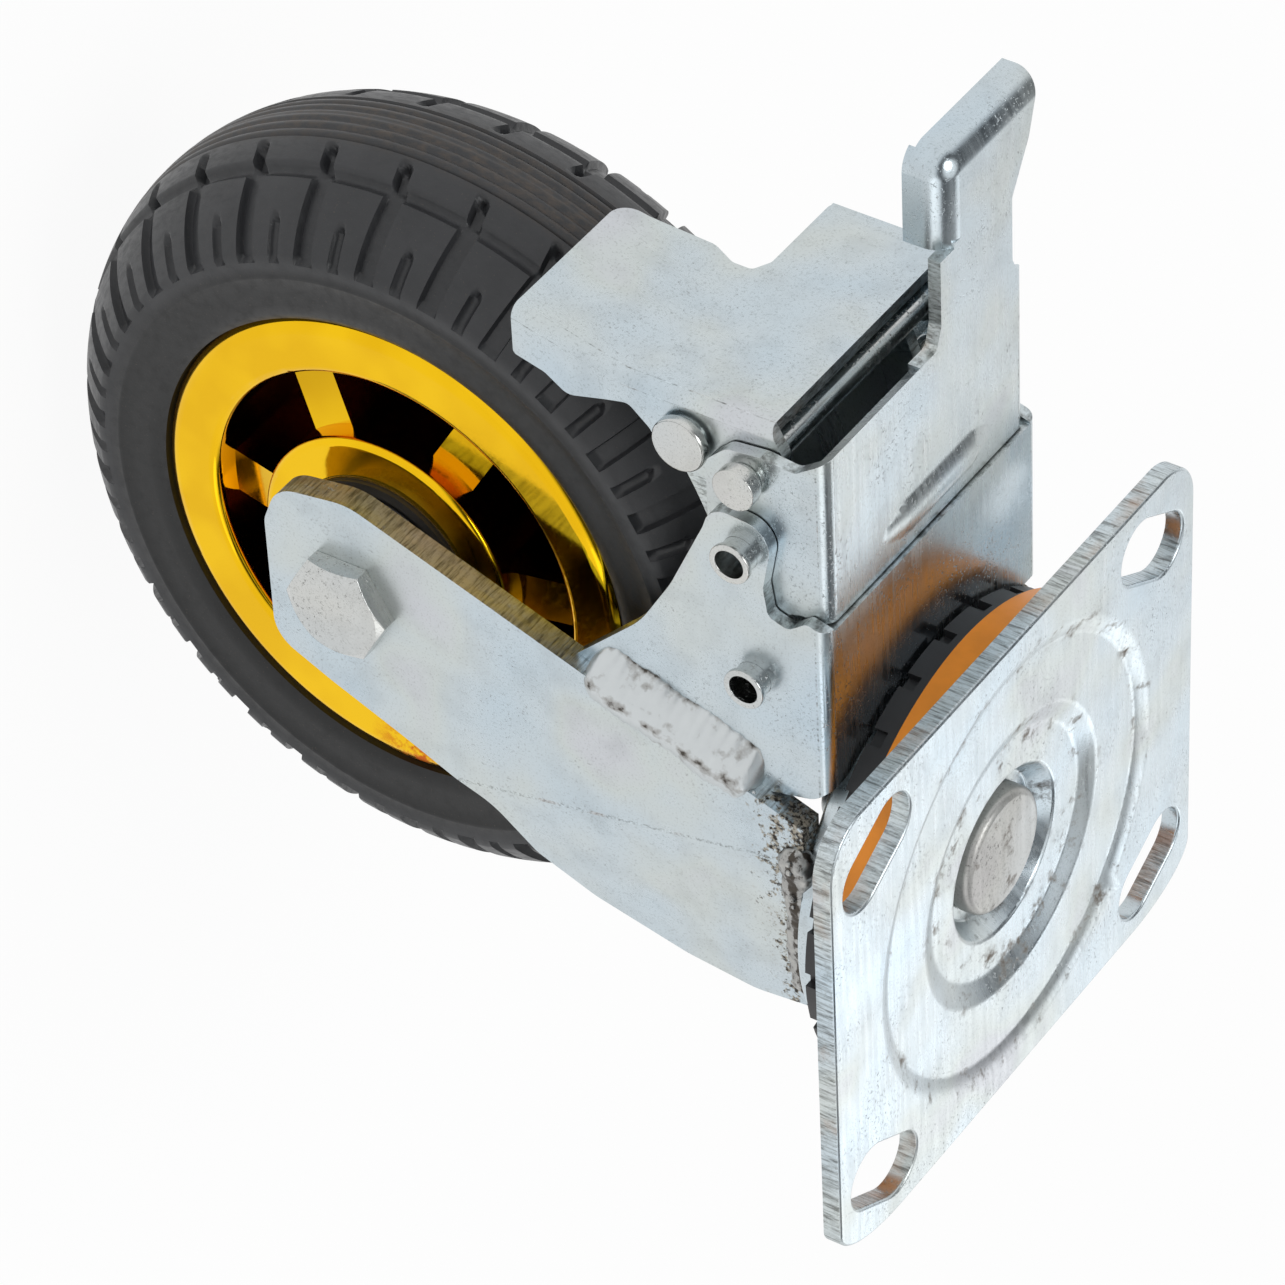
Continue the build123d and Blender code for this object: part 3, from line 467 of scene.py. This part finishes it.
def mark_sheared(bm, sheet, layer):
    """Marks a sheet's cut edges: the faces with no opposite face within the sheet's thickness."""
    tree = BVHTree.FromBMesh(bm)
    largest = {}
    for corners in bm.calc_loop_triangles():
        first, second, third = (corner.vert.co for corner in corners)
        area = (second - first).cross(third - first).length
        face = corners[0].face
        if area > largest.get(face, (0.0, None))[0]:
            largest[face] = (area, (first + second + third) / 3)
    for face, (_, place) in largest.items():
        inward = -face.normal
        hit, _, _, distance = tree.ray_cast(place + inward * 0.00002, inward)
        if hit is None or distance > sheet * 1.6:
            face[layer] = 1.0


sharp_angle = radians(28.0)
# how strongly the sheared-edge streaks are painted on a crease's bend, as a painted shade line
crease_shade = 0.8
corner_wear = 0.7
pin_round = 0.0003


def rounded_copy(node, material, body, width, sheet=None, crease=None, steps=2):
    """A copy of a CAD node with merged facets and rounded edges, which stands for the node; a crease's bend
    is rounded and carries a painted shade line.
    """
    bm = bmesh.new()
    bm.from_mesh(nodes[node].data)
    worn = bm.faces.layers.float.new("sheared")
    bmesh.ops.remove_doubles(bm, verts=bm.verts, dist=0.000004)
    bmesh.ops.dissolve_limit(bm, angle_limit=radians(0.3), verts=bm.verts, edges=bm.edges)
    if crease:
        low, high, length, spread = crease
        bend = [edge for edge in bm.edges if edge.is_manifold and edge.calc_length() > length
                and radians(low) < edge.calc_face_angle() < radians(high)]
        bends = bmesh.ops.bevel(bm, geom=bend, offset=spread, offset_type="OFFSET", segments=6, profile=0.5,
                                affect="EDGES", clamp_overlap=True, material=-1)["faces"]
        # painted shade: the bend's faces take the darker sheared-edge streaks as a shade line along the
        # crease
        for face in bends:
            face[worn] = crease_shade
    edges = [edge for edge in bm.edges if edge.is_manifold and edge.calc_face_angle() > sharp_angle]
    corners = bmesh.ops.bevel(bm, geom=edges, offset=width, offset_type="OFFSET", segments=steps, profile=0.5,
                              affect="EDGES", clamp_overlap=True, material=-1)["faces"]
    if sheet:
        mark_sheared(bm, sheet, worn)
        for face in corners:
            face[worn] = corner_wear
    piece = finish_mesh("rounded_" + node, bm, material, body)
    normals = piece.modifiers.new("normals", "WEIGHTED_NORMAL")
    normals.mode = "FACE_AREA"
    normals.weight = 90
    normals.keep_sharp = True
    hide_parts(node)
    return piece


materials = {}


class MakeMaterials(bpy.types.Operator):
    """Make the castor's finishes and paint the CAD pieces"""

    bl_idname = "castor.materials"
    bl_label = "Materials"

    def execute(self, context):
        groups = (plating_group(), edge_group(), grime_group())
        values = looks()
        zinc = tuple(values.zinc)
        worn = tuple(values.worn_zinc)
        dust = (0.22, 0.19, 0.16)
        soot = (0.13, 0.12, 0.11)
        kingpin_hole = (0.0118, 0.0180, 0.002, 0.43, soot)
        inner_ring = (0.018, 0.030, 0.003, 0.41, dust)
        outer_ring = (0.0395, 0.0455, 0.0012, 0.40, dust)
        materials["plate"] = zinc_material("Plate Zinc", groups, zinc, clouds=0.6, roughness=0.27,
                                           dirt=(kingpin_hole, inner_ring, outer_ring))
        materials["leg"] = zinc_material("Leg Zinc", groups, zinc, (1, 0.1, 1), 0.6, roughness=0.28,
                                         scorched=(leg_top - 0.013, leg_top - 0.002))
        materials["bracket"] = zinc_material("Bracket Zinc", groups, zinc, (1, 0.25, 0.25), 0.6,
                                             roughness=0.24)
        materials["pin"] = zinc_material("Pin Zinc", groups, worn, clouds=0.3, pits=1.6, roughness=0.20)
        materials["head"] = zinc_material("Kingpin Head", groups, (0.50, 0.505, 0.495), clouds=0.3, pits=1.6,
                                          roughness=0.38, dirt=((0.0, 0.012, 0.003, 0.40, dust),))
        materials["steel"] = zinc_material("Bearing Steel", groups, (0.45, 0.45, 0.46), clouds=0.2,
                                           roughness=0.3)
        materials["gilt"] = gilt_material()
        materials["rubber"] = rubber_material()
        materials["seal"] = plastic_material("Orange Seal", tuple(values.seal), 0.34)
        materials["black"] = plastic_material("Black Plastic", tuple(values.black), 0.38)
        materials["weld"] = weld_material("Plated Weld", False)
        materials["burnt"] = weld_material("Burnt Weld", True)
        paint(materials["plate"], "top_plate", "crown", "lower_cup")
        paint(materials["leg"], "leg_near", "leg_far")
        paint(materials["bracket"], "brake_bracket", "pedal", "release_lever", "brake_arm")
        paint(materials["head"], "kingpin")
        paint(materials["pin"], "kingpin_collar", "kingpin_nut", "axle_bolt", "axle_washer", "axle_nut",
              "spacer_near", "spacer_far", "arm_rivet", "pedal_rivet_near", "pedal_rivet_far", "cross_rod",
              "rod_bush_near", "rod_bush_far", "lever_pin_near", "lever_pin_far")
        paint(materials["steel"], "upper_race", "crown_race", "upper_balls", "lower_balls", "axle_sleeve",
              "bearing_near", "bearing_far")
        paint(materials["gilt"], "rim", "hub", "wheel_web")
        paint(materials["rubber"], "tyre")
        paint(materials["seal"], "seal_ring")
        paint(materials["black"], "lock_ring", "wheel_seal_near", "wheel_seal_far")
        paint(materials["weld"], "bracket_weld_near", "bracket_weld_far")
        paint(materials["burnt"], "crown_weld_near", "crown_weld_far")
        return {"FINISHED"}


class MakeSheets(bpy.types.Operator):
    """Round the sheared edges of the pressed sheets"""

    bl_idname = "castor.sheets"
    bl_label = "Pressed sheets"

    def execute(self, context):
        width = looks().edge_round
        sheets = (("top_plate", "plate", "plate", 0.0035), ("brake_bracket", "bracket", "fork", 0.0025),
                  ("pedal", "bracket", "pedal", 0.0024), ("release_lever", "bracket", "lever", 0.0024),
                  ("brake_arm", "bracket", "arm", 0.0025))
        for node, material, body, sheet in sheets:
            piece = rounded_copy(node, materials[material], body, width, sheet=sheet)
        for side in ("near", "far"):
            # the legs' crease is rounded and gets a painted shade line
            piece = rounded_copy("leg_" + side, materials["leg"], "fork", width, sheet=0.005,
                                 crease=(5, 12, 0.03, 0.0016))
        return {"FINISHED"}


class MakePins(bpy.types.Operator):
    """Round the heads and lips of the bolt, the nut, the rivets and the pins"""

    bl_idname = "castor.pins"
    bl_label = "Bolt, rivets and pins"

    def execute(self, context):
        pins = (("axle_bolt", "fork"), ("axle_nut", "fork"), ("axle_washer", "fork"), ("arm_rivet", "fork"),
                ("pedal_rivet_near", "fork"), ("pedal_rivet_far", "fork"), ("cross_rod", "pedal"),
                ("lever_pin_near", "lever"), ("lever_pin_far", "lever"), ("kingpin_nut", "plate"))
        for node, body in pins:
            piece = rounded_copy(node, materials["pin"], body, pin_round, steps=3)
        head = rounded_copy("kingpin", materials["head"], "plate", 2 * pin_round, steps=3)
        return {"FINISHED"}


class MakeWelds(bpy.types.Operator):
    """Lay the lumpy weld beads along the bracket's and the crown's seams"""

    bl_idname = "castor.welds"
    bl_label = "Welds"

    def execute(self, context):
        radius = looks().weld_height
        sunk = 0.0003
        top_lean = 0.0004
        foot_lean = 0.0034
        crown_reach = 0.00297
        crown_drop = 0.0014
        crown_start = 0.004
        for side, sign in (("near", -1), ("far", 1)):
            low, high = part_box("bracket_weld_" + side)
            face = (high.y if sign < 0 else low.y) - sign * sunk
            top = Vector((high.x + top_lean, face, high.z))
            foot = Vector((low.x + foot_lean, face, low.z))
            self.bead("bracket_bead_" + side, top, foot, radius, (0.10, 0.03), "bracket_weld_" + side,
                      "weld", (1.4, 2.45, 1.5))
            low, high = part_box("crown_weld_" + side)
            outside = low.y + crown_reach if sign < 0 else high.y - crown_reach
            inside = high.y if sign < 0 else low.y
            level = high.z - crown_drop
            start = Vector((low.x - crown_start, outside + sign * 0.0002, level))
            end = Vector((high.x - 0.0004, inside + sign * 0.0010, level))
            self.bead("crown_bead_" + side, start, end, radius * 0.9, (0.30, 0.16), "crown_weld_" + side,
                      "burnt", (1.0, 1.1, 1.0))
        return {"FINISHED"}

    def bead(self, name, start, end, radius, rough, node, finish, shape):
        """A closed tube with ripples, lumps and spatter, half sunk in the seam.

        `rough` holds the share of coarse and fine lumps; `shape` the share of the radius outwards and
        across, and the power that flattens the section.
        """
        around = 26
        along = 150
        ripple_length = 0.0021
        coarse_lumps = 0.0048
        fine_lumps = 0.0014
        outwards, crosswise, power = shape
        run = end - start
        length = run.length
        line = run.normalized()
        side = line.cross(Vector((0, 0, 1))).normalized()
        up = side.cross(line)
        bm = bmesh.new()
        foot = bm.verts.layers.float.new("foot")
        bmesh.ops.create_grid(bm, x_segments=along, y_segments=around, size=0.5)
        for vert in bm.verts:
            share = vert.co.x + 0.5
            turn = 2 * pi * (vert.co.y + 0.5)
            place = start + run * share
            taper = min(1.0, min(share, 1 - share) * length / radius * 0.9)
            round_end = max(0.02, 1 - (1 - taper) ** 2) ** 0.5
            ripple = 0.012 * sin(share * length / ripple_length * 2 * pi)
            vert[foot] = max(abs(sin(turn)), abs(cos(turn)))
            out = copysign(abs(cos(turn)) ** power, cos(turn)) * outwards
            across = copysign(abs(sin(turn)) ** power, sin(turn)) * crosswise
            ring = place + (side * out + up * across) * radius
            lumps = field.noise(ring / coarse_lumps) * rough[0] + field.noise(ring / fine_lumps) * rough[1]
            vert.co = place + (ring - place) * (round_end * (1 + ripple + lumps))
        bmesh.ops.remove_doubles(bm, verts=bm.verts, dist=0.00001)
        bmesh.ops.holes_fill(bm, edges=bm.edges, sides=around + 2)
        self.spatter(bm, start, end, side, radius)
        bmesh.ops.recalc_face_normals(bm, faces=bm.faces)
        piece = finish_mesh(name, bm, materials[finish], "fork", 60)
        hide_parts(node)

    def spatter(self, bm, start, end, side, radius):
        """Small beads of spatter beside the seam, half sunk in the bead's foot."""
        for count in range(16):
            share = (count * 0.618034) % 1
            offset = (1 if count % 2 else -1) * radius * (0.82 + 0.12 * ((count * 0.37) % 1))
            place = start + (end - start) * share + side * offset
            size = 0.0004 + 0.0004 * ((count * 0.73) % 1)
            bmesh.ops.create_icosphere(bm, subdivisions=2, radius=size, matrix=Matrix.Translation(place))


# The tyre, in millimetres: its round tread, one pitch of the pattern, and where the columns of vertices stand

tread_arc = 27.7
tread_centre = wheel_radius - tread_arc
pitch = radians(12.0)
groove_half = 1.7
hook_half = 1.15
hook_start = 7.2
hook_share = 1.5
hook_lean = 0.25
knee = 13.0
channel_depth = 1.25
shoulder = tyre_half_width - 0.3
notch_half = 0.95
notch_length = 4.8
notch_depth = 1.3
rib_pitch = 2.2
rib_depth = 0.75
rib_reach = 6.2
rib_band = 8.2
stagger_half = 5.5
flank_steps = 34
band_steps = 46
column_places = (0.0, 0.9, 1.5, 1.72, 1.95, 2.2, 3.6, 5.0, 6.1, 6.5, 6.75, 7.1)
last_groove = 2.2
first_notch = 6.1
side_section = ((46.0, 19.2), (48.2, 20.8), (48.25, 22.5), (49.6, 23.35), (51.5, 23.5), (54.0, 23.7),
                (56.9, 23.9), (57.3, 24.12), (57.7, 23.95), (59.2, 24.05), (60.3, 24.1))


def smooth_step(value, low, high):
    """0 under `low`, 1 over `high`, and smooth between them."""
    turn = min(1.0, max(0.0, (value - low) / (high - low)))
    return turn * turn * (3 - 2 * turn)


def section_rows():
    """The tyre's closed section as (radius, y, tread angle), from the near bead round to the far one."""
    top = asin(shoulder / tread_arc)
    band = asin(rib_band / tread_arc)
    turns = [-top + (top - band) * step / flank_steps for step in range(flank_steps)]
    turns += [-band + 2 * band * step / band_steps for step in range(band_steps)]
    turns += [band + (top - band) * step / flank_steps for step in range(flank_steps + 1)]
    rows = [(radius, -y, None) for radius, y in side_section]
    rows += [(tread_centre + tread_arc * cos(turn), tread_arc * sin(turn), turn) for turn in turns]
    rows += [(radius, y, None) for radius, y in reversed(side_section)]
    rows.append(rows[0])
    return rows


def column_arc(place, radius):
    """The distance round the tyre of a column: grooves and notches keep their width at every radius."""
    half = pitch * radius / 2
    half_top = pitch * wheel_radius / 2
    reach = abs(place)
    if reach >= first_notch:
        reach = half - (half_top - reach)
    elif reach > last_groove:
        high = half - (half_top - first_notch)
        reach = last_groove + (high - last_groove) * (reach - last_groove) / (first_notch - last_groove)
    return reach if place >= 0 else -reach


def tread_depth(arc, radius, across):
    """How far the tread lies under its round surface at a column's arc and a distance from the middle."""
    far = abs(across)
    depth = 0.0
    reach = abs(arc)
    full = looks().groove_depth / MM
    if far > knee:
        depth = full * (1 - smooth_step(reach, groove_half - 0.1, groove_half + 0.25))
    elif far > hook_start:
        fade = smooth_step(far, hook_start, hook_start + 0.7)
        curl = hook_half * (0.55 + 0.45 * smooth_step(far, hook_start, knee - 1.5))
        depth = hook_share * full * fade * (1 - smooth_step(reach, curl - 0.1, curl + 0.35))
    channel = channel_depth * (1 - smooth_step(abs(far - knee), 0.55, 1.15))
    depth = max(depth, channel)
    to_notch = pitch * radius / 2 - reach
    start = shoulder - notch_length
    if far > start:
        widen = min(1.0, ((far - start) / 1.6) ** 0.5)
        half = notch_half * widen
        notch = notch_depth * smooth_step(far, start, start + 0.8)
        depth = max(depth, notch * (1 - smooth_step(to_notch, half - 0.3, half + 0.15)))
    if far < rib_reach:
        rib = rib_depth * (1 - abs(sin(pi * (far + rib_pitch / 4) / rib_pitch))) ** 1.4
        depth = max(depth, rib)
    return depth


def tyre_mesh():
    """One pitch of the tread is draped over the section and then spun round the axle."""
    rows = section_rows()
    half_top = pitch * wheel_radius / 2
    inner = [place for place in column_places if place < half_top - 0.3]
    places = [-place for place in reversed(inner[1:])] + list(inner)
    places = [-half_top] + places + [half_top]
    columns = len(places) - 1
    bm = bmesh.new()
    bmesh.ops.create_grid(bm, x_segments=columns, y_segments=len(rows) - 1, size=0.5)
    for vert in bm.verts:
        column = round((vert.co.x + 0.5) * columns)
        row = round((vert.co.y + 0.5) * (len(rows) - 1))
        radius, across, turn = rows[row]
        arc = column_arc(places[column], radius)
        angle = arc / radius
        far = abs(across)
        lift = 0.0
        if turn is not None:
            depth = tread_depth(arc, radius, across)
            radius -= depth * cos(turn)
            across -= depth * sin(turn)
            lean = hook_lean * max(0.0, knee - max(far, hook_start)) / wheel_radius
            lift = lean * smooth_step(far, 0.0, hook_start)
        place = rows[row][1]
        shift = float(place > 0) if turn is None else smooth_step(place, -stagger_half, stagger_half)
        angle += lift + pitch / 2 * shift
        vert.co = axle + Vector((radius * cos(angle), across, radius * sin(angle))) * MM
    count = round(2 * pi / pitch)
    bmesh.ops.spin(bm, geom=bm.verts[:] + bm.edges[:] + bm.faces[:], cent=axle, axis=(0, 1, 0),
                   dvec=(0, 0, 0), angle=pitch * (count - 1), steps=count - 1, use_duplicate=True,
                   use_merge=False)
    bmesh.ops.remove_doubles(bm, verts=bm.verts, dist=0.00001)
    bmesh.ops.recalc_face_normals(bm, faces=bm.faces)
    return bm


class MakeTyre(bpy.types.Operator):
    """Model the tyre with its hooked grooves, ribs and shoulder notches"""

    bl_idname = "castor.tyre"
    bl_label = "Tyre"

    def execute(self, context):
        piece = finish_mesh("grooved_tyre", tyre_mesh(), materials["rubber"], "wheel", 55)
        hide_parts("tyre")
        return {"FINISHED"}


class MakeStage(bpy.types.Operator):
    """Set the camera, the lamps, the world and the floor"""

    bl_idname = "castor.stage"
    bl_label = "Stage"

    def execute(self, context):
        scene = context.scene
        scene.view_settings.view_transform = "Standard"
        camera = bpy.data.cameras.new("camera")
        camera.sensor_width = sensor
        camera.lens = focal_pixels / photo_pixels * sensor
        camera.clip_start = 0.05
        camera.clip_end = 20
        holder = bpy.data.objects.new("camera", camera)
        turn = Matrix((camera_right, camera_up, camera_back)).transposed()
        holder.matrix_world = Matrix.Translation(camera_place) @ turn.to_4x4()
        scene.collection.objects.link(holder)
        scene.camera = holder
        self.light("key", (-0.7, -0.2, 1.6), 1.0, 9.0)
        self.light("fill", (0.9, -1.3, 0.7), 1.2, 2.0)
        self.light("back", (1.5, 1.0, 1.2), 1.0, 3.0)
        self.world(scene)
        self.floor(scene)
        return {"FINISHED"}

    def light(self, name, place, size, power):
        """A round area lamp aimed at the castor."""
        lamp = bpy.data.lights.new(name, "AREA")
        lamp.shape = "DISK"
        lamp.size = size
        lamp.energy = power
        holder = bpy.data.objects.new(name, lamp)
        aim = lamp_aim - Vector(place)
        holder.location = place
        holder.rotation_mode = "QUATERNION"
        holder.rotation_quaternion = aim.to_track_quat("-Z", "Y")
        bpy.context.scene.collection.objects.link(holder)

    def world(self, scene):
        """White up to the horizon's height, a dark belt above it and a white top."""
        world = bpy.data.worlds.new("studio")
        world.use_nodes = True
        tree = world.node_tree
        tree.nodes.clear()
        output = tree.nodes.new("ShaderNodeOutputWorld")
        place = tree.nodes.new("ShaderNodeTexCoord")
        height = coordinate(tree, place.outputs["Generated"], "Z")
        sky = ramp(tree, height, [(0.0, (1, 1, 1)), (0.42, (1, 1, 1)), (0.56, (0.50, 0.52, 0.54)),
                                  (0.64, (0.05, 0.053, 0.057)), (0.78, (0.10, 0.105, 0.11)),
                                  (0.92, (1, 1, 1))])
        light = add(tree, "ShaderNodeBackground", {"Strength": 1.0})
        tree.links.new(sky, light.inputs["Color"])
        tree.links.new(light.outputs["Background"], output.inputs["Surface"])
        scene.world = world

    def floor(self, scene):
        """A floor under the tyre: white to the camera and in metal, with a faint shadow."""
        bm = bmesh.new()
        bmesh.ops.create_circle(bm, cap_ends=True, segments=96, radius=6.0)
        bmesh.ops.translate(bm, verts=bm.verts, vec=(0, 0, tyre_low.z - floor_gap))
        mesh = bpy.data.meshes.new("floor")
        bm.to_mesh(mesh)
        bm.free()
        material, tree, shader, _ = start_material("Floor")
        shader.inputs["Base Color"].default_value = (0.9, 0.9, 0.9, 1)
        shader.inputs["Roughness"].default_value = 0.9
        output = next(node for node in tree.nodes if node.type == "OUTPUT_MATERIAL")
        glow = add(tree, "ShaderNodeEmission", {"Color": (1, 1, 1, 1), "Strength": 1.0})
        both = tree.nodes.new("ShaderNodeMixShader")
        path = tree.nodes.new("ShaderNodeLightPath")
        seen = math(tree, "ADD", path.outputs["Is Camera Ray"], path.outputs["Is Glossy Ray"])
        seen = math(tree, "MINIMUM", math(tree, "ADD", seen, path.outputs["Is Transmission Ray"]), 1.0)
        share = math(tree, "MULTIPLY", seen, 0.93)
        tree.links.new(share, both.inputs["Fac"])
        tree.links.new(shader.outputs["BSDF"], both.inputs[1])
        tree.links.new(glow.outputs["Emission"], both.inputs[2])
        tree.links.new(both.outputs["Shader"], output.inputs["Surface"])
        mesh.materials.append(material)
        ground = bpy.data.objects.new("floor", mesh)
        scene.collection.objects.link(ground)


class CastorPanel(bpy.types.Panel):
    """Lists the castor's steps"""

    bl_idname = "VIEW3D_PT_castor"
    bl_label = "Castor"
    bl_space_type = "VIEW_3D"
    bl_region_type = "UI"
    bl_category = "Castor"

    def draw(self, context):
        for step in steps:
            self.layout.operator(step.bl_idname)
        for name in CastorLooks.__annotations__:
            self.layout.prop(context.scene.castor_looks, name)


steps = (MakeMaterials, MakeSheets, MakePins, MakeWelds, MakeTyre, MakeStage)


def register():
    bpy.utils.register_class(CastorLooks)
    bpy.types.Scene.castor_looks = PointerProperty(type=CastorLooks)
    for step in steps:
        bpy.utils.register_class(step)
    bpy.utils.register_class(CastorPanel)


def unregister():
    bpy.utils.unregister_class(CastorPanel)
    for step in reversed(steps):
        bpy.utils.unregister_class(step)
    del bpy.types.Scene.castor_looks
    bpy.utils.unregister_class(CastorLooks)


def main():
    register()
    bpy.ops.castor.materials()
    bpy.ops.castor.sheets()
    bpy.ops.castor.pins()
    bpy.ops.castor.welds()
    bpy.ops.castor.tyre()
    bpy.ops.castor.stage()


if __name__ == "__main__":
    main()
